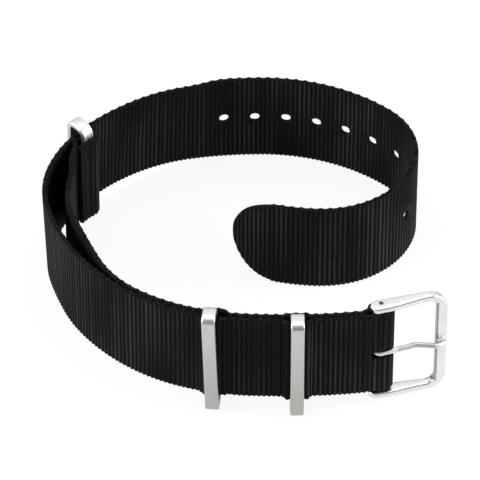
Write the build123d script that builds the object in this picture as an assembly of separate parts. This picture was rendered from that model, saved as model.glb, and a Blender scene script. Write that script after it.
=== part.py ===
from build123d import *
from math import atan2, cos, degrees, radians, sin, sqrt
import os

# A woven pass-through watch strap, standing on its edge as it comes out of the
# packet. +Z is up, along the width of the webbing. The near run with the buckle
# and the two middle keepers lies along X, and Y points to the back of the loop.

# Webbing
webbing_width = 22.0
webbing_thickness = 1.15
layer_gap = 0.05
strap_run = 258.5
overrun = 5.0
hairline = 1e-6

# Plan of the long strap, from the fold round to the tip: each bend is an arc to
# the right, given as its share of the whole run and the angle it turns.
first_heading = 190.2
bend_shares = [
    (0.109, 13.9),
    (0.122, 37.3),
    (0.111, 33.5),
    (0.053, 32.4),
    (0.094, 35.4),
    (0.129, 35.4),
    (0.124, 44.1),
    (0.082, 70.2),
    (0.092, 65.3),
    (0.084, 42.7),
]

# Keepers
keeper_bar = 1.2
keeper_width = 2.9
keeper_play = 2.7
keeper_height = webbing_width + keeper_play + 2 * keeper_bar
keeper_corner = 1.0
keeper_inner_corner = 0.4
keeper_edge = 0.3

# Pockets of the front and middle keeper: the back bar lies between the layers,
# of which the outer one bulges most
keeper_gap = 0.2
back_bar_offset = -0.3
keeper_tail_slot = 1.35
pocket_room = 0.3
pocket_ramp = 3.5
front_keeper_run = 18.6
middle_keeper_run = 36.3
middle_keeper_inset = 0.4
middle_keeper_lean = 1.7
middle_keeper_skew = 7

# End keeper, held in the fold of the short strap
end_keeper_run = 114.7
end_keeper_skew = -10
end_keeper_outer_gap = 0.5
end_keeper_room = 0.35
end_keeper_gap = 0.12

# Height of the webbing's lower edge over the table: the keepers stand on the
# table and carry the webbing, which comes down to the table past the end keeper.
keeper_top_gap = 0.7
left_gap = 0.7
near_lift = keeper_bar + keeper_play - keeper_top_gap
left_lift = keeper_bar + left_gap
near_ramp = (-34.0, 10.0)
far_ramp = (-28.0, 6.0)
split_y = -14.0

# Holes and tip
hole_diameter = 2.1
hole_pitch = 7.0
hole_count = 10
first_hole_run = 152.8

# Spring bar
pin_x = 29.55
pin_y = -36.4
tube_diameter = 1.8
tube_wall = 0.25
tube_end_gap = 0.15
crimp_length = 0.6
tip_diameter = 0.95
tip_chamfer = 0.15
shoulder_length = 1.5
tip_end_gap = 0.1
running_gap = 0.05
spring_wire = 0.2
spring_turns = 7

# Buckle frame, lying a little turned from the run of the webbing. The arms are
# straight behind. In front they are deepest round the spring bar and thin out
# towards the bar.
buckle_turn = 13.5
buckle_length = 14.4
arm_room = 0.7
arm_top_gap = 0.2
arm_thickness = 1.5
arm_thickness_at_bar = 1.65
frame_flare = 0.6
arm_end_reach = 2.35
lug_front = 1.9
lug_back = 1.3
lug_reach = 2.2
waist_front = 1.05
waist_reach = 9.0
bar_width = 2.3
bar_depth = 1.9
outer_corner = 4.0
inner_corner = 2.2
arm_end_round = 1.5
lug_round = 6.0
waist_round = 12.0
bar_round = 0.8
tang_seat_depth = 0.5
tang_seat_play = 0.2

# Tang: a round wire, in the frame's own directions
tang_wire = 1.2
tang_sides = 12
tang_eye_split = 5
tang_fall = 5.7
tang_climb = 18
tang_hook = 22
tang_knee_reach = 7.6
tang_bend_radius = 2.0
tang_tip_gap = 0.4
tang_tip_chamfer = 0.25

# Fold of the webbing round the spring bar, wider than the bar, and its slot for
# the tang
fold_gap = 0.315
fold_reach = 0.67
fold_shift = -0.184
fold_flat = 1.0
fold_settle = 4.9
tail_share = 0.58
butt_gap = 0.4
slot_width = 2.2
slot_reach = 2.9
slot_inner_reach = 2.5

# Short strap: the runs of the long strap beside which it leaves, bows and is
# pinched to its flap before the end keeper
leave_run = 55.0
bow_start_run = 84.0
bow_end_run = 98.0
bow_offset = 4.5
flap_end_run = 110.0
pinch_run = 110.6


def direction(heading):
    return Vector(cos(radians(heading)), sin(radians(heading)), 0)


def outward(heading):
    return direction(heading + 90)


def shifted(mark, side):
    """The same heading, moved to the left of it by side."""
    point, heading = mark
    return point + outward(heading) * side, heading


def ahead(mark, distance):
    point, heading = mark
    return point + direction(heading) * distance, heading


def turned_back(mark):
    point, heading = mark
    return point, heading + 180


def bend_right(mark, length, radius):
    """The mark at the end of an arc that bends to the right."""
    point, heading = mark
    turn = degrees(length / radius)
    centre = point - outward(heading) * radius
    return centre + outward(heading - turn) * radius, heading - turn


bends = [(share * strap_run, share * strap_run / radians(turn)) for share, turn in bend_shares]
fold_radius = tube_diameter / 2 + fold_gap + webbing_thickness / 2
pin = Vector(pin_x, pin_y, 0)
fold_middle = ahead(shifted((pin, first_heading), fold_shift), -fold_reach)


def mark_at(run):
    """Point and heading on the outer layer's middle line, run mm from the fold."""
    mark = shifted(fold_middle, fold_radius)
    for length, radius in bends:
        part = min(run, length)
        mark = bend_right(mark, part, radius)
        run = run - part
    return mark


def halfway(start, end):
    """The mark where two arcs meet that lead smoothly from start to end."""
    first, last = direction(start[1]), direction(end[1])
    span = end[0] - start[0]
    forward = span.dot(first + last)
    spread = 2 * (1 - first.dot(last))
    reach = span.dot(span) / (forward + sqrt(forward * forward + spread * span.dot(span)))
    middle = (start[0] + end[0] + (first - last) * reach) * 0.5
    chord = span - (first + last) * reach
    return middle, degrees(atan2(chord.Y, chord.X))


def along(run, end_run, side):
    """Marks of a layer that follows the long strap at a steady outward offset."""
    marks = [shifted(mark_at(run), side)]
    passed = 0.0
    for length, radius in bends:
        passed = passed + length
        if run < passed < end_run:
            marks.append(shifted(mark_at(passed), side))
    return marks + [shifted(mark_at(end_run), side)]


def joined(*stretches):
    """One list of marks, with a smooth double bend from each stretch to the next."""
    marks = list(stretches[0])
    for stretch in stretches[1:]:
        marks = marks + [halfway(marks[-1], stretch[0])] + list(stretch)
    return marks


def backwards(marks):
    return [turned_back(mark) for mark in reversed(marks)]


def rim(start, end):
    """The edge that leaves start along its heading and ends at end."""
    if abs(direction(start[1]).cross(end[0] - start[0]).Z) < hairline:
        return Line(start[0], end[0])
    return TangentArc(start[0], end[0], tangent=direction(start[1]))


def band(marks, thickness):
    """Plan of a strip that follows the marks."""
    left = [shifted(mark, thickness / 2) for mark in marks]
    right = [shifted(mark, -thickness / 2) for mark in marks]
    edges = [Line(left[0][0], right[0][0]), Line(left[-1][0], right[-1][0])]
    for side in (left, right):
        for start, end in zip(side, side[1:]):
            edges.append(rim(start, end))
    return make_face(edges)


def lift_share(x, ramp):
    """How far along a ramp x lies, eased at both ends."""
    share = min(max((x - ramp[0]) / (ramp[1] - ramp[0]), 0), 1)
    if share < 0.5:
        return 2 * share * share
    return 1 - 2 * (1 - share) * (1 - share)


def room_for_webbing(ramp, start_lift, end_lift, depth):
    """All the room at the webbing's height, from split_y to depth beyond it."""
    middle = webbing_width / 2
    far_left = (Vector(-strap_run, start_lift + middle, 0), 0)
    ramp_start = (Vector(ramp[0], start_lift + middle, 0), 0)
    ramp_end = (Vector(ramp[1], end_lift + middle, 0), 0)
    far_right = (Vector(strap_run, end_lift + middle, 0), 0)
    marks = [far_left, ramp_start, halfway(ramp_start, ramp_end), ramp_end, far_right]
    return extrude(Pos(0, split_y, 0) * (Plane.XZ * band(marks, webbing_width)), depth)


webbing_room = room_for_webbing(near_ramp, left_lift, near_lift, strap_run)
webbing_room += room_for_webbing(far_ramp, left_lift, 0, -strap_run)


def webbing(marks):
    """A layer of webbing on edge, cut to the height at which it stands."""
    plan = Pos(0, 0, -overrun) * band(marks, webbing_thickness)
    return extrude(plan, webbing_width + near_lift + 2 * overrun) & webbing_room


# Keepers, each made at the origin with the run of the webbing along X
def keeper(back, front):
    outline = Rectangle(front - back, keeper_height)
    outline = fillet(outline.vertices(), keeper_corner)
    window = Rectangle(front - back - 2 * keeper_bar, keeper_height - 2 * keeper_bar)
    window = fillet(window.vertices(), keeper_inner_corner)
    ring = extrude(Plane.YZ * (outline - window), keeper_width / 2, both=True)
    ends = ring.edges().filter_by_position(Axis.X, -keeper_width / 2, -keeper_width / 2)
    ends += ring.edges().filter_by_position(Axis.X, keeper_width / 2, keeper_width / 2)
    return Pos(0, (front + back) / 2, keeper_height / 2) * chamfer(ends, keeper_edge)


def turned(mark, angle):
    point, heading = mark
    return point, heading + angle


def placed(mark):
    point, heading = mark
    return Pos(point) * Rot(0, 0, heading)


front_mark = mark_at(front_keeper_run)
middle_mark = turned(shifted(mark_at(middle_keeper_run), -middle_keeper_inset), middle_keeper_skew)
end_mark = turned(mark_at(end_keeper_run), end_keeper_skew)
bulge_offset = back_bar_offset + keeper_bar / 2 + keeper_gap + webbing_thickness / 2
pocket_offset = back_bar_offset - keeper_bar / 2 - keeper_gap - webbing_thickness / 2
back_bar_face = back_bar_offset - keeper_bar / 2
front_bar_face = bulge_offset + webbing_thickness / 2 + keeper_tail_slot + keeper_bar
ply_offset = -webbing_thickness - end_keeper_room
inner_bar_face = ply_offset - webbing_thickness / 2 - end_keeper_gap - keeper_bar
end_bar_face = webbing_thickness / 2 + end_keeper_outer_gap + keeper_bar
lean_drop = keeper_width / 2 * sin(radians(middle_keeper_lean))
lean = Pos(0, 0, lean_drop) * Rot(0, middle_keeper_lean, 0)

keeper_front = placed(front_mark) * keeper(back_bar_face, front_bar_face)
keeper_middle = placed(middle_mark) * lean * keeper(back_bar_face, front_bar_face)
keeper_end = placed(end_mark) * keeper(inner_bar_face, end_bar_face)

# Long strap: the tail runs beside the outer layer, round the back bar of the
# front keeper, round the spring bar, and then as the outer layer to the tip
beside = -webbing_thickness - layer_gap
pocket_half = keeper_width / 2 + pocket_room
pocket_reach = pocket_half + pocket_ramp
front_start = front_keeper_run - pocket_reach
front_end = front_keeper_run + pocket_reach
middle_start = middle_keeper_run - pocket_reach
middle_end = middle_keeper_run + pocket_reach
tail_run = front_end + tail_share * (middle_start - front_end)


def pocket(mark, side):
    """The straight stretch of a layer that passes a keeper's bar."""
    middle = shifted(mark, side)
    return [ahead(middle, -pocket_half), ahead(middle, pocket_half)]


tail = joined(
    along(fold_settle, front_start, beside),
    pocket(front_mark, pocket_offset),
    along(front_end, tail_run, beside),
)
outer_layer = joined(
    along(0.0, front_start, 0.0),
    pocket(front_mark, bulge_offset),
    along(front_end, middle_start, 0.0),
    pocket(middle_mark, bulge_offset),
    along(middle_end, strap_run, 0.0),
)
fold_start = shifted(fold_middle, -fold_radius)
fold_back = backwards([fold_start, ahead(fold_start, fold_flat)])
long_strap = webbing(joined(backwards(tail), fold_back) + outer_layer)

# Slot through the fold, in which the tang turns
half_pin = webbing_width / 2 + arm_room + arm_thickness
half_bar = half_pin + frame_flare
frame_middle = near_lift + webbing_width + arm_top_gap + arm_thickness - half_pin
fold_out = fold_reach + fold_radius + webbing_thickness
outer_slot = Rectangle(fold_out + slot_reach, slot_width)
outer_slot = fillet(outer_slot.vertices(), slot_width / 3)
inner_slot = Rectangle(fold_out + slot_inner_reach, slot_width)
inner_slot = fillet(inner_slot.vertices(), slot_width / 3)
outer_slot = extrude(Plane.XZ * Pos((slot_reach - fold_out) / 2, 0) * outer_slot, -fold_out)
inner_slot = extrude(Plane.XZ * Pos((slot_inner_reach - fold_out) / 2, 0) * inner_slot, fold_out)
slot_place = Pos(pin_x, pin_y, frame_middle) * Rot(0, 0, first_heading)
long_strap -= slot_place * (outer_slot + inner_slot)

# Holes, melted through the middle of the webbing
punch = Cylinder(hole_diameter / 2, 2 * webbing_thickness)
for number in range(hole_count):
    point, heading = mark_at(first_hole_run + number * hole_pitch)
    height = webbing_width / 2 + left_lift * (1 - lift_share(point.X, far_ramp))
    centre = point + Vector(0, 0, height)
    long_strap -= Plane(origin=centre, x_dir=direction(heading), z_dir=outward(heading)) * punch

# Round tip
round_start, tip_heading = mark_at(strap_run - webbing_width / 2)
tip_blank = Pos(webbing_width / 2, 0) * Rectangle(webbing_width, webbing_width + 2 * overrun)
tip_waste = extrude(Plane.XZ * (tip_blank - Circle(webbing_width / 2)), overrun, both=True)
tip_waste = Pos(0, 0, webbing_width / 2) * tip_waste
long_strap -= Pos(round_start) * Rot(0, 0, tip_heading) * tip_waste

# Short strap: butts on the tail, goes round the back bar of the middle keeper,
# lies on the long strap, bows away from it and folds round the end keeper
turn_radius = keeper_bar / 2 + end_keeper_gap + webbing_thickness / 2
turn_place = keeper_width / 2 - keeper_bar / 2 + end_keeper_gap
ply_mark = shifted(end_mark, ply_offset)
flap_mark = shifted(end_mark, ply_offset - 2 * turn_radius)
short_strap = webbing(joined(
    along(tail_run + butt_gap, middle_start, beside),
    pocket(middle_mark, pocket_offset),
    along(middle_end, leave_run, beside),
    along(bow_start_run, bow_end_run, -bow_offset),
    along(flap_end_run, pinch_run, beside),
    [
        ahead(ply_mark, -pocket_half), ahead(ply_mark, turn_place),
        turned_back(ahead(flap_mark, turn_place)), turned_back(ahead(flap_mark, -pocket_half)),
    ],
    backwards(along(flap_end_run, pinch_run, 2 * beside)),
))

# Buckle frame, made with the spring bar at the origin and the bar along +X
bar_inner = buckle_length - bar_width
flare_slope = frame_flare / buckle_length
start = -2 * arm_end_reach
half_start = half_pin + flare_slope * start
outer = Polygon(
    (start, -half_start), (buckle_length, -half_bar),
    (buckle_length, half_bar), (start, half_start), align=None,
)
outer = fillet(outer.vertices().sort_by(Axis.X)[2:], outer_corner)
inner_slope = (half_bar - arm_thickness_at_bar - half_pin + arm_thickness) / bar_inner
inner_start = half_pin - arm_thickness + inner_slope * 2 * start
inner_end = half_bar - arm_thickness_at_bar
inner = Polygon(
    (2 * start, -inner_start), (bar_inner, -inner_end),
    (bar_inner, inner_end), (2 * start, inner_start), align=None,
)
inner = fillet(inner.vertices().sort_by(Axis.X)[2:], inner_corner)
front_shape = extrude(Plane.XZ * (outer - inner), 2 * lug_front, both=True)
side_outline = Polygon(
    (-arm_end_reach, -lug_front), (lug_reach, -lug_front), (waist_reach, -waist_front),
    (buckle_length, -bar_depth / 2), (buckle_length, bar_depth / 2), (-arm_end_reach, lug_back),
    align=None,
)
side_outline = fillet(side_outline.vertices().sort_by(Axis.X)[:2], arm_end_round)
for bend_place, bend_round in ((lug_reach, lug_round), (waist_reach, waist_round)):
    near_place = (bend_place - hairline, bend_place + hairline)
    bend_corners = side_outline.vertices().filter_by_position(Axis.X, *near_place)
    side_outline = fillet(bend_corners, bend_round)
side_outline = fillet(side_outline.vertices().sort_by(Axis.X)[-2:], bar_round)
side_shape = extrude(side_outline, half_bar + overrun, both=True)
frame = front_shape & side_shape
seat = Box(2 * bar_width, tang_seat_depth + overrun, tang_wire + 2 * tang_seat_play)
frame -= Pos(buckle_length, -bar_depth / 2 + tang_seat_depth - (tang_seat_depth + overrun) / 2, 0) * seat
frame -= Cylinder(tip_diameter / 2 + running_gap, 2 * (half_pin + overrun))
buckle_place = Pos(pin_x, pin_y, frame_middle) * Rot(0, 0, buckle_turn)
buckle_frame = buckle_place * frame

# Spring bar: a tube closed in at both ends over the shoulders of two tips, which
# one spring between them pushes out into the holes of the frame
inside_half = half_pin - arm_thickness
tube_half = inside_half - tube_end_gap
bore = tube_diameter / 2 - tube_wall
tube = Cylinder(tube_diameter / 2, 2 * tube_half)
tube -= Cylinder(bore, 2 * (tube_half - crimp_length))
tube -= Cylinder(tip_diameter / 2 + running_gap, 2 * tube_half + overrun)
upright = Pos(pin_x, pin_y, frame_middle)
spring_bar_tube = upright * tube

shoulder_top = tube_half - crimp_length - running_gap
tip_end = half_pin - tip_end_gap
from_below = (Align.CENTER, Align.CENTER, Align.MIN)
tip_length = tip_end - shoulder_top + shoulder_length
tip = Cylinder(tip_diameter / 2, tip_length, align=from_below)
tip = chamfer(tip.edges().sort_by(Axis.Z)[-1], tip_chamfer)
tip += Cylinder(bore - running_gap, shoulder_length, align=from_below)
tip = Pos(0, 0, shoulder_top - shoulder_length) * tip
spring_bar_tip_upper = upright * tip
spring_bar_tip_lower = upright * Rot(180, 0, 0) * tip

coil_half = shoulder_top - shoulder_length - spring_wire / 2 - running_gap
coil_radius = bore - running_gap - spring_wire / 2
coil = Helix(2 * coil_half / spring_turns, 2 * coil_half, coil_radius)
wire = Plane(origin=coil @ 0, z_dir=coil % 0) * Rectangle(spring_wire, spring_wire)
spring_bar_spring = upright * Pos(0, 0, -coil_half) * sweep(wire, path=coil)

# Tang: a round wire curled round the spring bar, bent in the middle and again at
# the bar, with its end in the seat
eye_radius = tube_diameter / 2 + running_gap + tang_wire / 2


def rise(length, angle):
    return length * sin(radians(angle)) / cos(radians(angle))


def rounded(corner, heading_in, heading_out):
    """The marks between which an arc rounds a corner."""
    reach = rise(tang_bend_radius, abs(heading_out - heading_in) / 2)
    return [ahead((corner, heading_in), -reach), ahead((corner, heading_out), reach)]


eye_start = (direction(-tang_eye_split) * eye_radius, 90 - tang_eye_split)
leaving = (outward(tang_fall + 180) * eye_radius, tang_fall)
knee = leaving[0] + Vector(tang_knee_reach, rise(tang_knee_reach, tang_fall))
crest = knee + Vector(bar_inner - knee.X, -rise(bar_inner - knee.X, tang_climb))
hook_reach = bar_width - tang_tip_gap
tang_end = (crest + Vector(hook_reach, rise(hook_reach, tang_hook)), tang_hook)
tang_marks = [eye_start, leaving] + rounded(knee, tang_fall, -tang_climb)
tang_marks = tang_marks + rounded(crest, -tang_climb, tang_hook) + [tang_end]
tang_path = Wire([rim(here, there) for here, there in zip(tang_marks, tang_marks[1:])])
tang_round = Plane(origin=tang_path @ 0, z_dir=tang_path % 0) * RegularPolygon(tang_wire / 2, tang_sides)
tang = sweep(tang_round, path=tang_path)
tang = chamfer(tang.faces().sort_by(Axis.X)[-1].edges(), tang_tip_chamfer)
buckle_tang = buckle_place * tang

parts = {
    "long_strap": long_strap,
    "short_strap": short_strap,
    "keeper_front": keeper_front,
    "keeper_middle": keeper_middle,
    "keeper_end": keeper_end,
    "buckle_frame": buckle_frame,
    "buckle_tang": buckle_tang,
    "spring_bar_tube": spring_bar_tube,
    "spring_bar_tip_upper": spring_bar_tip_upper,
    "spring_bar_tip_lower": spring_bar_tip_lower,
    "spring_bar_spring": spring_bar_spring,
}

# The origin is the middle of the whole strap's underside
whole = Compound(list(parts.values())).bounding_box()
centring = Pos(-whole.center().X, -whole.center().Y, -whole.min.Z)
os.makedirs("parts", exist_ok=True)
for name, part in parts.items():
    export_step(centring * part, f"parts/{name}.step")
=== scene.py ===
import cmath
import math

import bmesh
import bpy
import numpy as np
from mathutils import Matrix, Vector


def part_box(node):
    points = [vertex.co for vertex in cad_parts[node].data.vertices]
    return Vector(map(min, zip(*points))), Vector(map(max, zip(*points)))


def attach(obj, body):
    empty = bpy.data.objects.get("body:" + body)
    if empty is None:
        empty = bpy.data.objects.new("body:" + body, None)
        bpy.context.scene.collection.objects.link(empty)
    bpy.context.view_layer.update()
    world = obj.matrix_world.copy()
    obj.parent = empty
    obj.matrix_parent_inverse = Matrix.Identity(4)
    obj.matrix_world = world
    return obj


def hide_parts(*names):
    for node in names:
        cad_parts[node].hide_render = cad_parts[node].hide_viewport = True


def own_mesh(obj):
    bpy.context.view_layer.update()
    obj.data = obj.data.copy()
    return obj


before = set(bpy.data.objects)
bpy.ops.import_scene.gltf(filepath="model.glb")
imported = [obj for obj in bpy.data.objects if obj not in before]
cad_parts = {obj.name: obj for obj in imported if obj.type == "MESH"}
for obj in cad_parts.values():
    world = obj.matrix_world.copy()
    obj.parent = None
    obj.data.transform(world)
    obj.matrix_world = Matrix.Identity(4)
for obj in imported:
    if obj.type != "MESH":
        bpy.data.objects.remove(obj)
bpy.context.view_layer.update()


# Camera
# The strap stands on its edge and is seen from the side of its near run, from 43
# degrees above and through a long lens. Its plan is told from the spring bar.
mm = 0.001
pin_low, pin_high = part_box("spring_bar_tube")
pin_x, pin_y = ((pin_low + pin_high) / 2 / mm)[:2]
pin_in_view = (29.55, -36.4)
view_elevation = math.radians(43)
view_distance = 1000
view_height = 11
lens_length = 345
sensor_width = 36
sight_end = 10
camera = bpy.data.objects.new("camera", bpy.data.cameras.new("camera"))
bpy.context.scene.collection.objects.link(camera)
camera.data.lens = lens_length
camera.data.sensor_width = sensor_width
camera.data.clip_end = sight_end
camera.location = (
    (pin_x - pin_in_view[0]) * mm,
    (pin_y - pin_in_view[1] - view_distance * math.cos(view_elevation)) * mm,
    (view_height + view_distance * math.sin(view_elevation)) * mm,
)
camera.rotation_euler = (math.pi / 2 - view_elevation, 0, 0)
bpy.context.scene.camera = camera


# Long strap
# One band of black nylon, woven with a cord to each rib, 22 mm wide. Its tail is
# folded round the spring bar and fused to the band in narrow welded lines; the
# holes and the round tip are cut hot, which leaves them smooth and hard.
webbing_width = 22.0
webbing_thickness = 1.15
layer_gap = 0.05
strap_run = 258.5
first_heading = math.radians(190.2)
bend_shares = [
    (0.109, 13.9), (0.122, 37.3), (0.111, 33.5), (0.053, 32.4), (0.094, 35.4),
    (0.129, 35.4), (0.124, 44.1), (0.082, 70.2), (0.092, 65.3), (0.084, 42.7),
]
fold_radius = 1.79
fold_reach = 0.67
fold_shift = -0.184
fold_flat = 1.0
fold_settle = 4.9
tail_run = 28.03
beside = -webbing_thickness - layer_gap
front_keeper_run = 18.6
middle_keeper_run = 36.3
middle_keeper_inset = 0.4
middle_keeper_skew = math.radians(7)
pocket_half = 1.6
pocket_ramp = 1.8
bulge_offset = 1.0
pocket_offset = -1.6
near_lift = 3.2
left_lift = 1.9
near_ramp = (-34.0 - pin_in_view[0], 10.0 - pin_in_view[0])
far_ramp = (-28.0 - pin_in_view[0], 6.0 - pin_in_view[0])
split_y = -14.0 - pin_in_view[1]
rib_pitch = 1.05
rib_steps = 8
rib_height = 0.15
rib_mean = 0.64
edge_round = 0.32
edge_squareness = 0.6
edge_zone = 2 * edge_round
edge_steps = 4
face_columns = 18
scallop_height = 0.15
low_scallop_share = 0.8
swell_up, swell_down = 0.2, 0.3
weld_reach = 0.38
weld_flatness = 0.8
weld_lines = [(3.4, 0.15), (14.2, 0.11), (24.2, 0.07), (28.2, 0.05), (33.7, 0.11)]
fold_calm_runs = (-3.4, -1.7, 2.4, 3.4)
calm_fold_share = 0.55
hole_pitch = 7.0
hole_count = 10
first_hole_run = 152.8
hole_width = 2.2
hole_rim_reach = 0.8
hole_rim_thinning = 0.26
rim_calm = 1.2
tip_cut_sharpness = 40
hole_sides = 32
slot_width = 1.7
slot_reach = 2.4
slot_depth = 3.6
slot_corner = 0.51
lean_reach = 0.5 - 1.3j
lean_runs = (100, 132, 144, 156)
long_tuck = 0.55
tuck_runs = (72, 88, 97, 105)
tip_sway = -0.95j
tip_sway_reach = 16
straight_turn = 1e-6
blunt_tip = 1e-4


def shifted(mark, side):
    """The same heading, moved to the left of it by side."""
    return mark[0] + side * 1j * cmath.rect(1, mark[1]), mark[1]


def ahead(mark, distance):
    return mark[0] + cmath.rect(distance, mark[1]), mark[1]


fold_middle = ahead(shifted((0j, first_heading), fold_shift), -fold_reach)


def turned(mark, angle):
    return mark[0], mark[1] + angle


def backwards(marks):
    return [turned(mark, math.pi) for mark in reversed(marks)]


def mark_at(run):
    """Place and heading of the outer layer's middle line, run mm from the fold."""
    mark = shifted(fold_middle, fold_radius)
    for share, turn in bend_shares:
        length = share * strap_run
        part = min(run, length)
        angle = math.radians(turn) * part / length
        if part > 0:
            chord = length / math.radians(turn) * 2 * math.sin(angle / 2)
            mark = turned(ahead(turned(mark, -angle / 2), chord), -angle / 2)
        run = run - part
    return mark


def halfway(start, end):
    """Where two arcs meet that lead smoothly from start to end."""
    first, last = cmath.rect(1, start[1]), cmath.rect(1, end[1])
    span = end[0] - start[0]
    along_both = (span * (first + last).conjugate()).real
    spread = 2 * (1 - (first * last.conjugate()).real)
    size = abs(span) ** 2
    reach = size / (along_both + math.sqrt(along_both ** 2 + spread * size))
    chord = span - (first + last) * reach
    return (start[0] + end[0] + (first - last) * reach) / 2, cmath.phase(chord)


def along(run, end_run, side):
    """Marks of a layer that follows the long strap at a steady outward offset."""
    marks = [shifted(mark_at(run), side)]
    passed = 0.0
    for share, _ in bend_shares:
        passed = passed + share * strap_run
        if run < passed < end_run:
            marks.append(shifted(mark_at(passed), side))
    return marks + [shifted(mark_at(end_run), side)]


def joined(*stretches):
    marks = list(stretches[0])
    for stretch in stretches[1:]:
        marks = marks + [halfway(marks[-1], stretch[0])] + list(stretch)
    return marks


def pocket(mark, side):
    """The straight stretch of a layer that passes a keeper's bar."""
    middle = shifted(mark, side)
    return [ahead(middle, -pocket_half), ahead(middle, pocket_half)]


def traced(marks, step):
    """Places, headings and running length along the arcs through the marks."""
    places, headings, lengths = [], [], []
    passed = 0.0
    for start, end in zip(marks, marks[1:]):
        chord = end[0] - start[0]
        half_turn = cmath.phase(chord / cmath.rect(1, start[1]))
        if abs(half_turn) < straight_turn:
            length = abs(chord)
        else:
            length = abs(chord) * half_turn / math.sin(half_turn)
        count = max(1, round(length / step))
        for number in range(count + (end is marks[-1])):
            share = number / count
            part = share * 2 * half_turn
            place = ahead(turned(start, part / 2), share * length * np.sinc(part / 2 / math.pi))[0]
            places.append(place)
            headings.append(start[1] + part)
            lengths.append(passed + share * length)
        passed = passed + length
    return np.array(places), np.array(headings), np.array(lengths)


def eased(values, start, end):
    share = np.clip((values - start) / (end - start), 0, 1)
    return np.where(share < 0.5, 2 * share ** 2, 1 - 2 * (1 - share) ** 2)


def rise_and_fall(values, marks):
    return eased(values, marks[0], marks[1]) * (1 - eased(values, marks[2], marks[3]))


def leaning(runs, headings):
    """How far outwards the upper edge stands over the lower one."""
    return rise_and_fall(runs, lean_runs) * (lean_reach * np.exp(-1j * headings) / 1j).real


def lift_at(places):
    """Height of the webbing's lower edge over the table."""
    near = left_lift + (near_lift - left_lift) * eased(places.real, *near_ramp)
    far = left_lift * (1 - eased(places.real, *far_ramp))
    return np.where(places.imag < split_y, near, far)


def section_profile():
    """Half of the webbing's section, from its lower to its upper edge: height and depth."""
    turns = np.linspace(0, math.pi / 2, edge_steps + 1)
    rounding = np.stack([1 - np.cos(turns), np.sin(turns) ** edge_squareness])
    lower = np.stack([-webbing_width / 2 + rounding[0] * edge_round, rounding[1]])
    upper = np.stack([webbing_width / 2 - rounding[0][::-1] * edge_round, rounding[1][::-1]])
    flat = np.linspace(-webbing_width / 2 + edge_round, webbing_width / 2 - edge_round, face_columns)[1:-1]
    middle = np.stack([flat, np.ones(len(flat))])
    return np.concatenate([lower, middle, upper], axis=1)


def weld_relief(runs, welds):
    """How far the ribs are pressed flat and how deep the webbing is sunk by the welded lines."""
    pressed = np.zeros(len(runs))
    sunk = np.zeros(len(runs))
    for weld, weld_depth in welds:
        near_weld = np.exp(-((runs - weld) / weld_reach) ** 2)
        pressed = np.maximum(pressed, near_weld)
        sunk = np.maximum(sunk, weld_depth * near_weld)
    return pressed, sunk


def rim_relief(runs, height, run_of_rims):
    """How far the ribs are smoothed in the fold and round the holes, and how thin the rims are."""
    calm = np.zeros((len(runs), len(height)))
    calm = calm + calm_fold_share * rise_and_fall(runs, fold_calm_runs)[:, None]
    thinned = np.zeros((len(runs), len(height)))
    for rim in run_of_rims:
        away = np.hypot((runs - rim)[:, None], height[None, :]) - hole_width / 2
        calm = np.maximum(calm, np.clip(rim_calm - away / hole_rim_reach, 0, 1))
        thinned = np.maximum(thinned, np.clip(1 - away / hole_rim_reach, 0, 1) ** 2)
    return calm, thinned


def scalloped(runs, height, wide, cut):
    """Height of the points, with the loops of the weft along both edges where they aren't cut off."""
    upper = swell_up + scallop_height * np.cos(math.pi * runs / rib_pitch)
    lower = swell_down + scallop_height * low_scallop_share * np.cos(2 * math.pi * runs / rib_pitch)
    scallop = np.where(height[None, :] > 0, upper[:, None], -lower[:, None])
    edge_near = np.clip((np.abs(height) - webbing_width / 2 + edge_zone) / edge_zone, 0, 1)
    return height[None, :] * wide[:, None] + scallop * edge_near[None, :] * (1 - cut[:, None])


def faces_between(index):
    """Faces between each ring of points and the next."""
    onward = np.roll(index, -1, axis=1)
    return np.stack([index[:-1], onward[:-1], onward[1:], index[1:]], axis=2).reshape(-1, 4).tolist()


def end_faces(index, columns):
    """Faces that close the two ends of a band, from its one side to the other."""
    faces = []
    for row in (0, len(index) - 1):
        around = index.shape[1]
        for k in range(columns - 1):
            ring = [
                index[row][k], index[row][k + 1],
                index[row][-(k + 1) % around], index[row][-k % around],
            ]
            ring = [point for number, point in enumerate(ring) if point not in ring[:number]]
            faces.append(ring if row else ring[::-1])
    return faces


def mark_weave(mesh, runs, across, pressed, cut):
    """Two maps for the material: the place in the weave, and how far the thread is melted."""
    corner = np.zeros(len(mesh.loops), np.int64)
    mesh.loops.foreach_get("vertex_index", corner)
    row, column = corner // len(across), corner % len(across)
    weave = mesh.uv_layers.new(name="weave")
    weave.data.foreach_set("uv", np.stack([runs[row], across[column]], axis=1).ravel())
    cut_edge = cut[row] * (np.abs(across[column]) > webbing_width / 2 - edge_zone)
    melted = np.maximum(pressed[row], cut_edge)
    melt = mesh.uv_layers.new(name="melt")
    melt.data.foreach_set("uv", np.stack([melted, np.zeros(len(corner))], axis=1).ravel())


def turn_outwards(mesh):
    """Turns all faces of a closed mesh outwards."""
    solid = bmesh.new()
    solid.from_mesh(mesh)
    bmesh.ops.recalc_face_normals(solid, faces=solid.faces)
    solid.to_mesh(mesh)
    solid.free()


def add_piece(name, mesh):
    piece = bpy.data.objects.new(name, mesh)
    bpy.context.scene.collection.objects.link(piece)
    return piece


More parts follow.
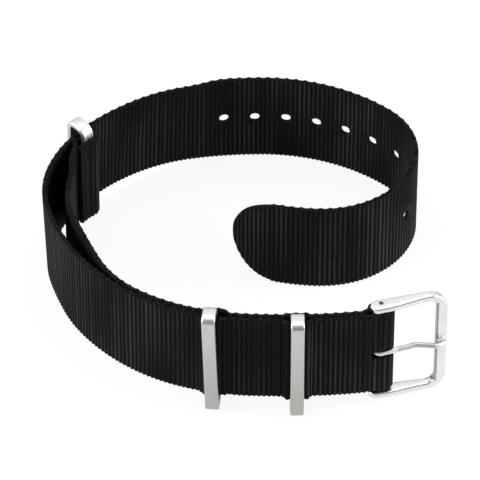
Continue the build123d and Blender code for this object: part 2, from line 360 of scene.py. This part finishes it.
def make_webbing(name, marks, run_shift, welds, tuck, run_beside=None, half_widths=None, run_of_rims=()):
    """A woven band along the marks, with its ribs, scalloped edges and welded lines as real shape."""
    places, headings, lengths = traced(marks, rib_pitch / rib_steps)
    runs = lengths + run_shift
    long_runs = runs if run_beside is None else run_beside(runs)
    height, depth = section_profile()
    share_up = height[None, :] / webbing_width + 0.5
    wide = np.ones(len(runs)) if half_widths is None else half_widths(runs) / (webbing_width / 2)
    cut = np.clip((1 - wide) * tip_cut_sharpness, 0, 1)
    pressed, sunk = weld_relief(runs, welds)
    calm, thinned = rim_relief(runs, height, run_of_rims)
    ridge = np.abs(np.cos(math.pi * runs / rib_pitch))
    standing = 1 - pressed[:, None] * weld_flatness
    relief = (rib_height * (ridge - rib_mean))[:, None] * (1 - calm) * standing
    relief = relief - sunk[:, None] - hole_rim_thinning * thinned
    thick = webbing_thickness / 2 - rib_height * (1 - rib_mean) + relief
    lean = leaning(long_runs, headings)[:, None] * share_up
    lean = lean - tuck * rise_and_fall(long_runs, tuck_runs)[:, None] * (1 - share_up)
    places = places + tip_sway * eased(runs, strap_run - tip_sway_reach, strap_run)
    level = scalloped(runs, height, wide, cut) + lift_at(places)[:, None] + webbing_width / 2
    sides = []
    for side in (1, -1):
        offset = side * depth[None, :] * thick + lean
        plan = places[:, None] + offset * 1j * np.exp(1j * headings)[:, None]
        sides.append(np.stack([plan.real + pin_x, plan.imag + pin_y, level], axis=2) * mm)
    back = slice(len(height) - 2, 0, -1)
    loop = np.concatenate([sides[0], sides[1][:, back]], axis=1)
    index = np.arange(loop.shape[0] * loop.shape[1]).reshape(loop.shape[:2])
    mesh = bpy.data.meshes.new(name)
    faces = faces_between(index) + end_faces(index, len(height))
    mesh.from_pydata(loop.reshape(-1, 3).tolist(), [], faces)
    mark_weave(mesh, runs, np.concatenate([height, height[back]]), pressed, cut)
    turn_outwards(mesh)
    mesh.shade_smooth()
    return add_piece(name, mesh)


def cut_out(piece, outline, place, axes, start, end):
    """Cuts a prism through the piece: the outline along two axes, the cut along the third."""
    ring = []
    for level in (start, end):
        for x, z in outline:
            ring.append((np.array(place) + x * axes[0] + z * axes[1] + level * axes[2]) * mm)
    count = len(outline)
    faces = [list(range(count)), list(range(2 * count - 1, count - 1, -1))]
    faces += [[k, k + count, (k + 1) % count + count, (k + 1) % count] for k in range(count)]
    mesh = bpy.data.meshes.new("cutter")
    mesh.from_pydata([tuple(point) for point in ring], [], faces)
    mesh.uv_layers.new(name="weave")
    melt = mesh.uv_layers.new(name="melt")
    melt.data.foreach_set("uv", [1.0, 0.0] * len(mesh.loops))
    turn_outwards(mesh)
    cutter = add_piece("cutter", mesh)
    step = piece.modifiers.new("cut", "BOOLEAN")
    step.operation = "DIFFERENCE"
    step.solver = "EXACT"
    step.object = cutter
    bpy.context.view_layer.update()
    shaped = bpy.data.meshes.new_from_object(piece.evaluated_get(bpy.context.evaluated_depsgraph_get()))
    piece.modifiers.remove(step)
    piece.data = shaped
    bpy.data.objects.remove(cutter)


class Signal:
    """One output of a shader node, on which sums can be written."""

    def __init__(self, finish, socket):
        self.finish = finish
        self.socket = socket

    def math(self, operation, first, second=0.0):
        return self.finish.node("ShaderNodeMath", {"operation": operation}, {0: first, 1: second})

    def limited(self):
        """Cut off below 0 and above 1."""
        return self.math("MINIMUM", self.math("MAXIMUM", self, 0.0), 1.0)

    def __add__(self, other):
        return self.math("ADD", self, other)

    __radd__ = __add__

    def __sub__(self, other):
        return self.math("SUBTRACT", self, other)

    def __rsub__(self, other):
        return self.math("SUBTRACT", other, self)

    def __mul__(self, other):
        return self.math("MULTIPLY", self, other)

    __rmul__ = __mul__

    def __truediv__(self, other):
        return self.math("DIVIDE", self, other)

    def __rtruediv__(self, other):
        return self.math("DIVIDE", other, self)

    def __pow__(self, other):
        return self.math("POWER", self, other)

    def __rpow__(self, other):
        return self.math("POWER", other, self)

    def __gt__(self, other):
        return self.math("GREATER_THAN", self, other)

    def __lt__(self, other):
        return self.math("LESS_THAN", self, other)


class Finish:
    """A material or a world, and the one way in which its nodes are added."""

    def __init__(self, owner):
        self.owner = owner
        owner.use_nodes = True
        self.tree = owner.node_tree
        self.tree.nodes.clear()

    def node(self, kind, settings=None, inputs=None, output=0):
        """A node of this type, with its settings and the values or links of its sockets."""
        node = self.tree.nodes.new(kind)
        for name, value in (settings or {}).items():
            setattr(node, name, value)
        for name, value in (inputs or {}).items():
            if isinstance(value, Signal):
                self.tree.links.new(value.socket, node.inputs[name])
            else:
                node.inputs[name].default_value = value
        return Signal(self, node.outputs[output]) if node.outputs else None

    def noise(self, place, detail):
        where = self.node("ShaderNodeCombineXYZ", None, dict(enumerate(place)))
        return self.node("ShaderNodeTexNoise", None, {"Vector": where, "Scale": 1.0, "Detail": detail})

    def mix(self, factor, first, second):
        return self.node("ShaderNodeMix", {"data_type": "RGBA"}, {0: factor, 6: first, 7: second}, 2)

    def parts_of(self, vector):
        split = self.node("ShaderNodeSeparateXYZ", None, {0: vector})
        return [Signal(self, split.socket.node.outputs[k]) for k in range(3)]

    def surface(self, **inputs):
        named = {name.replace("_", " "): value for name, value in inputs.items()}
        shader = self.node("ShaderNodeBsdfPrincipled", None, named)
        self.node("ShaderNodeOutputMaterial", None, {"Surface": shader})
        return self.owner


webbing_black = (0.0032, 0.0032, 0.0035, 1)
# The crown colour is a painted highlight on the crowns of the ribs.
crown_painted_highlight = (0.043, 0.043, 0.044, 1)
melted_black = (0.0075, 0.0060, 0.0050, 1)
melt_share = 0.85
rib_sharpness = 5
rib_base, rib_spread = 0.25, 0.75
thread_grain = (6, 1.2)
patch_grain = (0.10, 0.05)
yarn_grain = (3.2, 3.6)
speck_floor, speck_contrast = 0.42, 3.4
thread_base, thread_spread = 0.3, 1.2
patch_contrast, patch_cut = 2.8, 0.65
loose_specks = 0.10
# How much weaker the painted highlight is between the front and the middle keeper.
between_keepers_highlight_dimming = 0.45
edge_light = 0.1
edge_specks = 0.22
rim_spread = 1.3
webbing_roughness = 0.62
thread_gloss, melt_gloss = 0.1, 0.25
webbing_gloss = 0.02
thread_relief = 0.4
weave_relief = {"Strength": 0.6, "Distance": 0.00012}


def webbing_material():
    """Black yarn with a painted highlight on the crowns of the ribs, melted smooth at welds and rims."""
    finish = Finish(bpy.data.materials.new("black_webbing"))
    run, across, _ = finish.parts_of(finish.node("ShaderNodeUVMap", {"uv_map": "weave"}))
    melted, _, _ = finish.parts_of(finish.node("ShaderNodeUVMap", {"uv_map": "melt"}))
    rib = run / rib_pitch
    crown = rib.math("ABSOLUTE", rib.math("COSINE", rib * math.pi))
    number = rib.math("FLOOR", rib + 0.5)
    each_rib = finish.node("ShaderNodeTexWhiteNoise", {"noise_dimensions": "1D"}, {"W": number})
    hole = run - first_hole_run + hole_pitch / 2
    from_hole = hole - hole.math("FLOOR", hole / hole_pitch) * hole_pitch - hole_pitch / 2
    in_row = (hole > 0) * (hole < hole_count * hole_pitch)
    away = hole.math("SQRT", from_hole * from_hole + across * across)
    rim = in_row * (rim_spread - (away - hole_width / 2) / hole_rim_reach).limited()
    thread = finish.noise((rib * thread_grain[0], across * thread_grain[1], 0.0), 3.0)
    patch = finish.noise((run * patch_grain[0], across * patch_grain[1], 0.0), 0.0)
    yarn = finish.noise((run * yarn_grain[0], across * yarn_grain[1], 0.0), 1.0)
    speck = yarn.math("MAXIMUM", (yarn - speck_floor) * speck_contrast, 0.0)
    smooth = melted.math("MAXIMUM", melted, rim)
    between_keepers = (run > front_keeper_run) * (run < middle_keeper_run)
    side = across.math("ABSOLUTE", across) < webbing_width / 2 - edge_round
    # Painted highlight on the rib crowns, weaker on the rounded edges and between the front and the middle
    # keeper.
    lit = crown ** rib_sharpness * (rib_base + each_rib * rib_spread)
    lit = lit * (thread_base + speck * thread_spread)
    lit = lit * (patch * patch_contrast - patch_cut) + speck * loose_specks
    lit = lit * (1 - between_keepers * between_keepers_highlight_dimming) * (edge_light + side * (1 - edge_light))
    lit = (lit + speck * (1 - side) * edge_specks).limited()
    colour = finish.mix(lit, webbing_black, crown_painted_highlight)
    colour = finish.mix(smooth * melt_share, colour, melted_black)
    rough = webbing_roughness - thread * thread_gloss - smooth * melt_gloss
    height = (thread * thread_relief + yarn) * (1 - smooth)
    bump = finish.node("ShaderNodeBump", None, {"Height": height, **weave_relief})
    return finish.surface(Base_Color=colour, Roughness=rough, Normal=bump, Specular_IOR_Level=webbing_gloss)


front_mark = mark_at(front_keeper_run)
middle_mark = turned(shifted(mark_at(middle_keeper_run), -middle_keeper_inset), middle_keeper_skew)
pocket_reach = pocket_half + pocket_ramp
front_start, front_end = front_keeper_run - pocket_reach, front_keeper_run + pocket_reach
middle_start, middle_end = middle_keeper_run - pocket_reach, middle_keeper_run + pocket_reach
tail = joined(
    along(fold_settle, front_start, beside),
    pocket(front_mark, pocket_offset),
    along(front_end, tail_run, beside),
)
outer_layer = joined(
    along(0.0, front_start, 0.0),
    pocket(front_mark, bulge_offset),
    along(front_end, middle_start, 0.0),
    pocket(middle_mark, bulge_offset),
    along(middle_end, strap_run, 0.0),
)
fold_start = shifted(fold_middle, -fold_radius)
fold_back = backwards([fold_start, ahead(fold_start, fold_flat)])
tail_side = joined(backwards(tail), fold_back)
tail_length = traced(tail_side + outer_layer[:1], rib_pitch)[2][-1]
front_growth = traced(outer_layer, rib_pitch)[2][-1] - strap_run
tip_start = strap_run + front_growth - webbing_width / 2


def tip_width(runs):
    past = np.clip((runs - tip_start) / (webbing_width / 2), 0, 1)
    return webbing_width / 2 * np.sqrt(np.maximum(1 - past ** 2, blunt_tip))


hole_runs = [first_hole_run + front_growth + number * hole_pitch for number in range(hole_count)]
long_strap = make_webbing(
    "long_strap_webbing", tail_side + outer_layer, -tail_length, weld_lines, long_tuck,
    half_widths=tip_width, run_of_rims=hole_runs,
)
upwards = np.array([0, 0, 1.0])
hole_outline = [
    (hole_width / 2 * math.cos(turn), hole_width / 2 * math.sin(turn))
    for turn in np.linspace(0, 2 * math.pi, hole_sides, endpoint=False)
]
for number in range(hole_count):
    place, heading = mark_at(first_hole_run + number * hole_pitch)
    middle_height = lift_at(np.array([place]))[0] + webbing_width / 2
    middle = (place.real + pin_x, place.imag + pin_y, middle_height)
    onward = np.array([math.cos(heading), math.sin(heading), 0])
    out = np.array([-math.sin(heading), math.cos(heading), 0])
    cut_out(long_strap, hole_outline, middle, (onward, upwards, out), -webbing_thickness, webbing_thickness)
slot_middle = (pin_x, pin_y, (pin_low.z + pin_high.z) / 2 / mm)
onward = np.array([math.cos(first_heading), math.sin(first_heading), 0])
out = np.array([-math.sin(first_heading), math.cos(first_heading), 0])
slot_half = slot_width / 2
slot_outline = [
    (-slot_depth, -slot_half), (slot_reach - slot_corner, -slot_half),
    (slot_reach, slot_corner - slot_half), (slot_reach, slot_half - slot_corner),
    (slot_reach - slot_corner, slot_half), (-slot_depth, slot_half),
]
cut_out(long_strap, slot_outline, slot_middle, (onward, upwards, out), -slot_depth, slot_depth)
black_webbing = webbing_material()
long_strap.data.materials.clear()
long_strap.data.materials.append(black_webbing)
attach(long_strap, "strap")
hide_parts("long_strap")


# Short strap
# The same webbing, fused to the back of the long strap between the keepers. It
# holds the middle keeper in a pocket, bows away from the long strap, and its end
# is folded round the inner bar of the end keeper and fused to itself.
butt_gap = 0.04
leave_run = 55.0
bow_start_run = 84.0
bow_end_run = 99.0
bow_offset = 4.5
bow_end_offset = 5.2
bow_skew = math.radians(3)
flap_end_run = 109.6
flap_offset = -2.3
flap_skew = math.radians(10)
end_keeper_run = 114.7
end_keeper_skew = math.radians(-10)
ply_offset = -1.5
turn_radius = 1.295
turn_place = 0.97
end_half = 1.75
short_tuck = -0.2
band_weld = (33.7, 0.08)
end_weld_inset, end_weld_depth = 2.2, 0.12
end_mark = turned(mark_at(end_keeper_run), end_keeper_skew)
flap_start = turned(mark_at(flap_end_run), flap_skew)
ply_mark = shifted(end_mark, ply_offset)
flap_mark = shifted(end_mark, ply_offset - 2 * turn_radius)
short_marks = joined(
    along(tail_run + butt_gap, middle_start, beside),
    pocket(middle_mark, pocket_offset),
    along(middle_end, leave_run, beside),
    [
        shifted(mark_at(bow_start_run), -bow_offset),
        turned(shifted(mark_at(bow_end_run), -bow_end_offset), bow_skew),
    ],
    [shifted(flap_start, flap_offset)],
    [
        ahead(ply_mark, -end_half), ahead(ply_mark, turn_place),
        turned(ahead(flap_mark, turn_place), math.pi), turned(ahead(flap_mark, -end_half), math.pi),
    ],
    backwards([shifted(flap_start, flap_offset + beside)]),
)
short_length = traced(short_marks, rib_pitch)[2][-1]
marks_to_turn = short_marks.index(ahead(ply_mark, turn_place)) + 1
turn_run = tail_run + traced(short_marks[:marks_to_turn], rib_pitch)[2][-1]


def run_beside_long(runs):
    """Run of the long strap beside a run of the short one, there and back from its fold."""
    return end_keeper_run + turn_place - np.abs(runs - turn_run)


short_welds = [band_weld, (tail_run + short_length - end_weld_inset, end_weld_depth)]
short_strap = make_webbing(
    "short_strap_webbing", short_marks, tail_run, short_welds, short_tuck, run_beside_long,
)
short_strap.data.materials.append(black_webbing)
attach(short_strap, "strap")
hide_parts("short_strap")


# Keepers
# Three rings bent from flat stainless strip and closed by a weld. They are
# brushed round the ring and tumbled, so the edges are brighter than the faces.
# The satin colours are mixed by painted light: lighter upwards and lightest on the upper bar.
satin_light = (0.70, 0.70, 0.69, 1)
satin_dark = (0.41, 0.405, 0.385, 1)
keeper_bar = 1.2
keeper_width = 2.9
keeper_height = 27.1
keeper_bend = 1.8
end_keeper_bend = 3.0
keeper_edge = 0.32
back_bar_face = -0.9
front_bar_face = 4.2
inner_bar_face = -3.395
end_bar_face = 2.275
middle_keeper_lean = math.radians(1.7)
top_share = 0.5
top_start, top_end = 0.0261, 0.0269
bend_steps = 8
bar_edge_steps = 4
grain_contrast, cloud_contrast = 0.3, 0.3
cloud_grain = (250, 250, 120)
roughness_spread = 0.1
grain_relief = {"Strength": 0.2, "Distance": 0.00001}
satin_roughness = 0.36
satin_brush = (7000, 7000, 400)


def rounded_section(outer, inner, low, high, radius):
    """Section of a bar between two points of its outline and its two sides, with round edges."""
    half = np.hypot(*(outer - inner)) / 2
    onward = (outer - inner) / 2 / half
    reach = (high - low) / 2
    radius = min(radius, half, reach)
    ring = []
    for right, up, first in ((1, 1, 0), (-1, 1, 90), (-1, -1, 180), (1, -1, 270)):
        for turn in np.radians(np.linspace(first, first + 90, bar_edge_steps + 1)):
            level = right * (half - radius) + radius * math.cos(turn)
            side = (low + high) / 2 + up * (reach - radius) + radius * math.sin(turn)
            place = (outer + inner) / 2 + onward * level
            ring.append((place[0], side, place[1]))
    return ring


def lofted(name, rings, closed, place, axes):
    """A bar through its sections, which are told along axes from place."""
    rings = np.array(rings)
    count, around = rings.shape[:2]
    index = np.arange(count * around).reshape(count, around)
    if closed:
        index = np.concatenate([index, index[:1]])
    faces = faces_between(index)
    if not closed:
        faces += [index[0][::-1].tolist(), index[-1].tolist()]
    points = (rings.reshape(-1, 3) @ np.array(axes) + place) * mm
    mesh = bpy.data.meshes.new(name)
    mesh.from_pydata(points.tolist(), [], faces)
    turn_outwards(mesh)
    mesh.shade_smooth()
    return add_piece(name, mesh)


def bent_outline(low, high, bottom, top, radius, upper_back_radius):
    """A rectangle with round bends, from its lower front bend upwards."""
    points = []
    for x, z, first, bend in (
        (high, bottom, -90, radius), (high, top, 0, radius),
        (low, top, 90, upper_back_radius), (low, bottom, 180, radius),
    ):
        centre = np.array([x - bend if x == high else x + bend, z + bend if z == bottom else z - bend])
        before, after = np.radians(first), np.radians(first + 90)
        turns = np.linspace(before, after, bend_steps + 1)
        arc = centre + bend * np.stack([np.cos(turns), np.sin(turns)], axis=1)
        points += list(arc)
        points.append(arc[-1] + keeper_edge * np.array([-math.sin(after), math.cos(after)]))
    return points


def make_keeper(name, mark, back, front, leans, upper_back_bend):
    """A ring round the webbing at a mark, between back and front, that stands on the table."""
    outer = bent_outline(back, front, 0.0, keeper_height, keeper_bend, upper_back_bend)
    inner = bent_outline(
        back + keeper_bar, front - keeper_bar, keeper_bar, keeper_height - keeper_bar,
        keeper_bend - keeper_bar, upper_back_bend - keeper_bar,
    )
    half = keeper_width / 2
    rings = [
        rounded_section(outside, inside, -half, half, keeper_edge)
        for outside, inside in zip(outer, inner)
    ]
    onward = np.array([math.cos(mark[1]), math.sin(mark[1]), 0])
    out = np.array([-math.sin(mark[1]), math.cos(mark[1]), 0])
    along_lean, out_lean = leans
    up = np.array([0, 0, 1.0]) + onward * math.tan(along_lean) + out * math.tan(out_lean)
    up = up / np.linalg.norm(up)
    onward = np.cross(out, up)
    onward = onward / np.linalg.norm(onward)
    out = np.cross(up, onward)
    raised = abs(math.sin(along_lean)) * half + abs(math.sin(out_lean)) * front
    base = np.array([mark[0].real + pin_x, mark[0].imag + pin_y, raised])
    return lofted(name, rings, True, base, (out, onward, up))


def steel_material(name, light, dark, roughness, brush, shade, softness=0.0):
    """Brushed or polished steel, whose tone goes from dark to light by shade, which paints light and shade
    into the colour, with random grain and cloud.
    """
    finish = Finish(bpy.data.materials.new(name))
    place = finish.node("ShaderNodeTexCoord", None, None, "Object")
    x, y, z = finish.parts_of(place)
    grain = finish.noise((x * brush[0], y * brush[1], z * brush[2]), 4.0)
    cloud = finish.noise((x * cloud_grain[0], y * cloud_grain[1], z * cloud_grain[2]), 2.0)
    tone = shade(x, y, z) + (grain - 0.5) * grain_contrast + (cloud - 0.5) * cloud_contrast
    colour = finish.mix(tone.limited(), dark, light)
    relief = {"Height": grain, **grain_relief}
    if softness:
        relief["Normal"] = finish.node("ShaderNodeBevel", {"samples": 8}, {"Radius": softness})
    bump = finish.node("ShaderNodeBump", None, relief)
    rough = roughness + (grain - 0.5) * roughness_spread
    return finish.surface(Base_Color=colour, Roughness=rough, Metallic=1.0, Normal=bump)


def keeper_painted_light(x, y, z):
    """Painted light: lighter upwards, and lightest on the upper bar, which faces the sky."""
    top = ((z - top_start) / (top_end - top_start)).limited()
    return z / (keeper_height * mm) * (1 - top_share) + top * top_share


satin_steel = steel_material(
    "satin_steel", satin_light, satin_dark, satin_roughness, satin_brush, keeper_painted_light,
)
end_heading = mark_at(end_keeper_run)[1]
end_lean = math.atan(leaning(np.array([end_keeper_run]), np.array([end_heading]))[0] / webbing_width)
for name, body, mark, back, front, leans, bend in (
    ("keeper_front", "front_keeper", front_mark, back_bar_face, front_bar_face, (0, 0), keeper_bend),
    (
        "keeper_middle", "middle_keeper", middle_mark, back_bar_face, front_bar_face,
        (middle_keeper_lean, 0), keeper_bend,
    ),
    ("keeper_end", "end_keeper", end_mark, inner_bar_face, end_bar_face, (0, end_lean), end_keeper_bend),
):
    keeper = make_keeper(name + "_ring", mark, back, front, leans, bend)
    keeper.data.materials.append(satin_steel)
    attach(keeper, body)
    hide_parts(name)


# Buckle frame and tang
# A stamped and polished stainless frame with rounded edges, open at the strap's
# side, whose arms hold the spring bar. The tang is bent from polished wire and
# lies in a shallow seat on the frame's bar.
polished_light = (0.80, 0.80, 0.80, 1)
polished_dark = (0.22, 0.22, 0.22, 1)
buckle_turn = math.radians(13.5)
buckle_length = 14.4
bar_width = 2.3
bar_inner = buckle_length - bar_width
pin_half = 13.2
bar_half = 13.8
arm_thickness = 1.5
arm_thickness_at_bar = 1.65
arm_end_reach = 2.35
outer_corner = 4.0
inner_corner = 2.2
arm_end_round = 1.5
lug_front, lug_back = 1.9, 1.3
lug_reach = 2.2
waist_front = 1.05
waist_reach = 9.0
bar_front = 0.95
frame_edge = 0.5
arm_steps = 40
corner_steps = 14
bar_steps = 10
bend_reach = 1
round_sides = 24
tip_hole = 1.05
seat_radius = 0.8
seat_depth = 0.5
overrun = 1.0
sharp_angle = math.radians(50)
polish_grain = (1500, 1500, 1500)
polished_roughness, tang_roughness = 0.26, 0.42
tang_softness = 0.0003
inner_from, inner_to, wall_half = 0.0115, 0.0124, 0.0114
tang_upper, tang_from, tang_to = -0.0002, 0.0035, 0.0115
# The second number is the painted shade on the bar's inner wall.
frame_light, wall_painted_shade = 0.95, 0.75
# The second number is the painted reflection on the upper side of the tang's free stretch.
tang_light, tang_painted_reflection_dimming = 0.90, 0.42
waist_slope = (lug_front - waist_front) / (waist_reach - lug_reach)
bar_slope = (waist_front - bar_front) / (buckle_length - waist_reach)
arm_bends = [
    lug_reach - bend_reach, lug_reach + bend_reach, waist_reach - bend_reach, waist_reach + bend_reach,
    buckle_length,
]
arm_fronts = [
    lug_front, lug_front - waist_slope * bend_reach, waist_front + waist_slope * bend_reach,
    waist_front - bar_slope * bend_reach, bar_front,
]


def frame_edge_line(half_at_pin, half_at_bar, reach, radius):
    """One edge of the frame, from the lower arm's end round the corner to the bar's middle."""
    slope = (half_at_bar - half_at_pin) / reach
    away = math.atan(slope)
    cut = radius * math.tan((math.pi / 2 + away) / 2)
    arm_end = np.array([reach - cut * math.cos(away), -half_at_bar + cut * math.sin(away)])
    arm_start = np.array([-arm_end_reach, -half_at_pin + slope * arm_end_reach])
    arm = arm_start + (arm_end - arm_start) * np.linspace(0, 1, arm_steps)[:, None]
    centre = arm_end + radius * np.array([math.sin(away), math.cos(away)])
    turns = np.linspace(-math.pi / 2 - away, 0, corner_steps + 1)[1:]
    arc = centre + radius * np.stack([np.cos(turns), np.sin(turns)], axis=1)
    bar = arc[-1] + (np.array([reach, 0]) - arc[-1]) * np.linspace(0, 1, bar_steps + 1)[1:, None]
    return np.concatenate([arm, arc, bar])


def frame_depth(x):
    """Where the front and the back of the frame lie at x, with the round end of the arm."""
    front = np.interp(x, arm_bends, arm_fronts)
    back = lug_back + (bar_front - lug_back) * (x + arm_end_reach) / (buckle_length + arm_end_reach)
    past = max(0, arm_end_round - (x + arm_end_reach))
    inset = arm_end_round - math.sqrt(arm_end_round ** 2 - past ** 2)
    return -front + inset, back - inset


mirror = np.array([1, -1])
outer_line = frame_edge_line(pin_half, bar_half, buckle_length, outer_corner)
inner_line = frame_edge_line(
    pin_half - arm_thickness, bar_half - arm_thickness_at_bar, bar_inner, inner_corner,
)
outer_line = np.concatenate([outer_line, outer_line[-2::-1] * mirror])
inner_line = np.concatenate([inner_line, inner_line[-2::-1] * mirror])
frame_pin = np.array([pin_x, pin_y, (pin_low.z + pin_high.z) / 2 / mm])
along_arm = np.array([math.cos(buckle_turn), math.sin(buckle_turn), 0])
to_back = np.array([-math.sin(buckle_turn), math.cos(buckle_turn), 0])
sections = [
    rounded_section(outer, inner, *frame_depth((outer[0] + inner[0]) / 2), frame_edge)
    for outer, inner in zip(outer_line, inner_line)
]
polished_frame = lofted("polished_frame", sections, False, frame_pin, (along_arm, to_back, upwards))
circle = [
    (math.cos(turn), math.sin(turn)) for turn in np.linspace(0, 2 * math.pi, round_sides, endpoint=False)
]
hole = [(x * tip_hole / 2, y * tip_hole / 2) for x, y in circle]
cut_out(polished_frame, hole, frame_pin, (along_arm, to_back, upwards), -2 * pin_half, 2 * pin_half)
seat = [(y * seat_radius, z * seat_radius) for y, z in circle]
seat_place = frame_pin + to_back * (seat_depth - bar_front - seat_radius)
cut_out(
    polished_frame, seat, seat_place, (to_back, upwards, along_arm),
    bar_inner - overrun, buckle_length + overrun,
)


def reach_of(x, y):
    """Distance from the spring bar along the arms."""
    return (x - pin_x * mm) * math.cos(buckle_turn) + (y - pin_y * mm) * math.sin(buckle_turn)


def frame_painted_shade(x, y, z):
    """Painted shade: darker on the bar's inner wall."""
    reach = reach_of(x, y)
    middle = z - float(frame_pin[2]) * mm
    inner = (reach > inner_from) * (reach < inner_to) * (middle.math("ABSOLUTE", middle) < wall_half)
    return frame_light - inner * wall_painted_shade


def tang_painted_reflection(x, y, z):
    """Painted reflection: darker on the upper side of the free stretch."""
    reach = reach_of(x, y)
    upper = (z > float(frame_pin[2]) * mm + tang_upper) * (reach > tang_from) * (reach < tang_to)
    return tang_light - upper * tang_painted_reflection_dimming


polished_steel = steel_material(
    "polished_steel", polished_light, polished_dark, polished_roughness, polish_grain, frame_painted_shade,
)
tang_steel = steel_material(
    "tang_steel", polished_light, polished_dark, tang_roughness, polish_grain, tang_painted_reflection, tang_softness,
)
polished_frame.data.materials.clear()
polished_frame.data.materials.append(polished_steel)
polished_frame.data.set_sharp_from_angle(angle=sharp_angle)
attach(polished_frame, "buckle")
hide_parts("buckle_frame")
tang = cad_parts["buckle_tang"]
tang.data.materials.clear()
tang.data.materials.append(tang_steel)


# Spring bar
# A drawn stainless tube with a sprung tip in each end, pushed in to fit the frame.
# Only the end of the upper tip shows, as a disc in the hole of the frame's arm; the bar's colour is painted
# dark, a painted shade for the hole.
# The coil spring is cut in two halves at its middle.
# Painted shade: the bar's colours are dark for the shade in the frame's hole.
painted_shade_bar_light = (0.22, 0.22, 0.22, 1)
painted_shade_bar_dark = (0.03, 0.03, 0.03, 1)
bar_share = 0.4
bar_roughness = 0.4
bar_brush = (6000, 6000, 600)
bar_softness = 0.0001


def bar_tone(x, y, z):
    """The same all over."""
    return z * 0 + bar_share


bar_steel = steel_material(
    "spring_bar_steel", painted_shade_bar_light, painted_shade_bar_dark, bar_roughness, bar_brush, bar_tone, bar_softness,
)
for name in ("spring_bar_tube", "spring_bar_tip_upper", "spring_bar_tip_lower"):
    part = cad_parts[name]
    part.data.materials.clear()
    part.data.materials.append(bar_steel)
spring_low, spring_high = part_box("spring_bar_spring")
spring_middle = (spring_low.z + spring_high.z) / 2
whole_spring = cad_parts["spring_bar_spring"]
for name, joint, way in (
    ("upper_coils", "spring_bar_tip_upper_push", 1), ("lower_coils", "spring_bar_tip_lower_push", -1),
):
    mesh = whole_spring.data.copy()
    mesh.transform(whole_spring.matrix_world)
    coils = bmesh.new()
    coils.from_mesh(mesh)
    bmesh.ops.bisect_plane(
        coils, geom=coils.verts[:] + coils.edges[:] + coils.faces[:], plane_co=(0, 0, spring_middle),
        plane_no=(0, 0, way), clear_inner=True,
    )
    bmesh.ops.holes_fill(coils, edges=[edge for edge in coils.edges if edge.is_boundary])
    coils.to_mesh(mesh)
    coils.free()
    mesh.materials.clear()
    mesh.materials.append(bar_steel)
    half_spring = add_piece(name, mesh)
    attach(half_spring, "strap")
    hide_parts("spring_bar_spring")
    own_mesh(half_spring)


# Floor and light
# A white table in a white studio, under soft lamps: one broad lamp above and one at
# each side. Steel mirrors a darker room on the side from which the photo is taken.
floor_half = 1.5
floor_drop = 0.46
floor_corners = [
    (x * floor_half, y * floor_half, 0) for x, y in ((-1, -1), (1, -1), (1, 1), (-1, 1))
]
floor_mesh = bpy.data.meshes.new("floor")
floor_mesh.from_pydata(floor_corners, [], [(0, 1, 2, 3)])
floor = bpy.data.objects.new("floor", floor_mesh)
floor.location.z = -floor_drop * mm
bpy.context.scene.collection.objects.link(floor)
table = Finish(bpy.data.materials.new("white_table"))
white = (1, 1, 1, 1)
table_white = (0.86, 0.86, 0.86, 1)
table_share = 0.87
diffuse = table.node("ShaderNodeBsdfDiffuse", None, {"Color": table_white})
glow = table.node("ShaderNodeEmission", None, {"Color": white})
seen = table.node("ShaderNodeLightPath", None, None, "Is Camera Ray")
mirrored = table.node("ShaderNodeLightPath", None, None, "Is Glossy Ray")
through = table.node("ShaderNodeLightPath", None, None, "Is Transmission Ray")
share = seen.math("MINIMUM", seen + mirrored + through, 1.0) * table_share
shown = table.node("ShaderNodeMixShader", None, {0: share, 1: diffuse, 2: glow})
table.node("ShaderNodeOutputMaterial", None, {"Surface": shown})
floor_mesh.materials.append(table.owner)

room_light = 0.45
mirrored_room = 1.0
dark_room = 0.30
dark_horizon = 0.6
dark_start, dark_end = 0.05, 0.75
horizon_start, horizon_end = 0.05, 0.45
bpy.context.scene.world = bpy.data.worlds.new("studio")
room = Finish(bpy.context.scene.world)
sky = room.node("ShaderNodeTexCoord", None, None, "Generated")
dark_side = (0, -math.cos(view_elevation), math.sin(view_elevation))
facing = room.node("ShaderNodeVectorMath", {"operation": "DOT_PRODUCT"}, {0: sky, 1: dark_side}, "Value")
dark = room.node(
    "ShaderNodeMapRange", {"interpolation_type": "SMOOTHSTEP"},
    {
        "Value": facing, "From Min": dark_start, "From Max": dark_end,
        "To Min": mirrored_room, "To Max": dark_room,
    },
)
seen = room.node("ShaderNodeLightPath", None, None, "Is Camera Ray")
through = room.node("ShaderNodeLightPath", None, None, "Is Transmission Ray")
mirrored = room.node("ShaderNodeLightPath", None, None, "Is Glossy Ray")
_, _, sky_height = room.parts_of(sky)
horizon = room.node(
    "ShaderNodeMapRange", {"interpolation_type": "SMOOTHSTEP"},
    {
        "Value": sky_height, "From Min": horizon_start, "From Max": horizon_end,
        "To Min": dark_horizon, "To Max": 1.0,
    },
)
level = dark * horizon
mirrored_grey = room.node("ShaderNodeCombineColor", None, {0: level, 1: level, 2: level})
grey = room.mix(mirrored, (room_light, room_light, room_light, 1), mirrored_grey)
colour = room.mix(seen.math("MAXIMUM", seen, through), grey, white)
light = room.node("ShaderNodeBackground", None, {"Color": colour})
room.node("ShaderNodeOutputWorld", None, {"Surface": light})

lamps = [
    ("lamp_above", (0.0, 0.05, 0.75), 0.7, 2.8),
    ("lamp_left", (-0.72, -0.22, 0.35), 0.5, 8.0),
    ("lamp_right", (0.75, -0.12, 0.35), 0.5, 7.5),
]
for name, place, size, power in lamps:
    lamp = bpy.data.lights.new(name, "AREA")
    lamp.shape = "SQUARE"
    lamp.size = size
    lamp.energy = power
    holder = bpy.data.objects.new(name, lamp)
    holder.location = place
    x, y, z = place
    holder.rotation_euler = (math.atan2(math.hypot(x, y), z), 0, math.atan2(-y, -x) - math.pi / 2)
    bpy.context.scene.collection.objects.link(holder)

bpy.context.scene.view_settings.view_transform = "Standard"
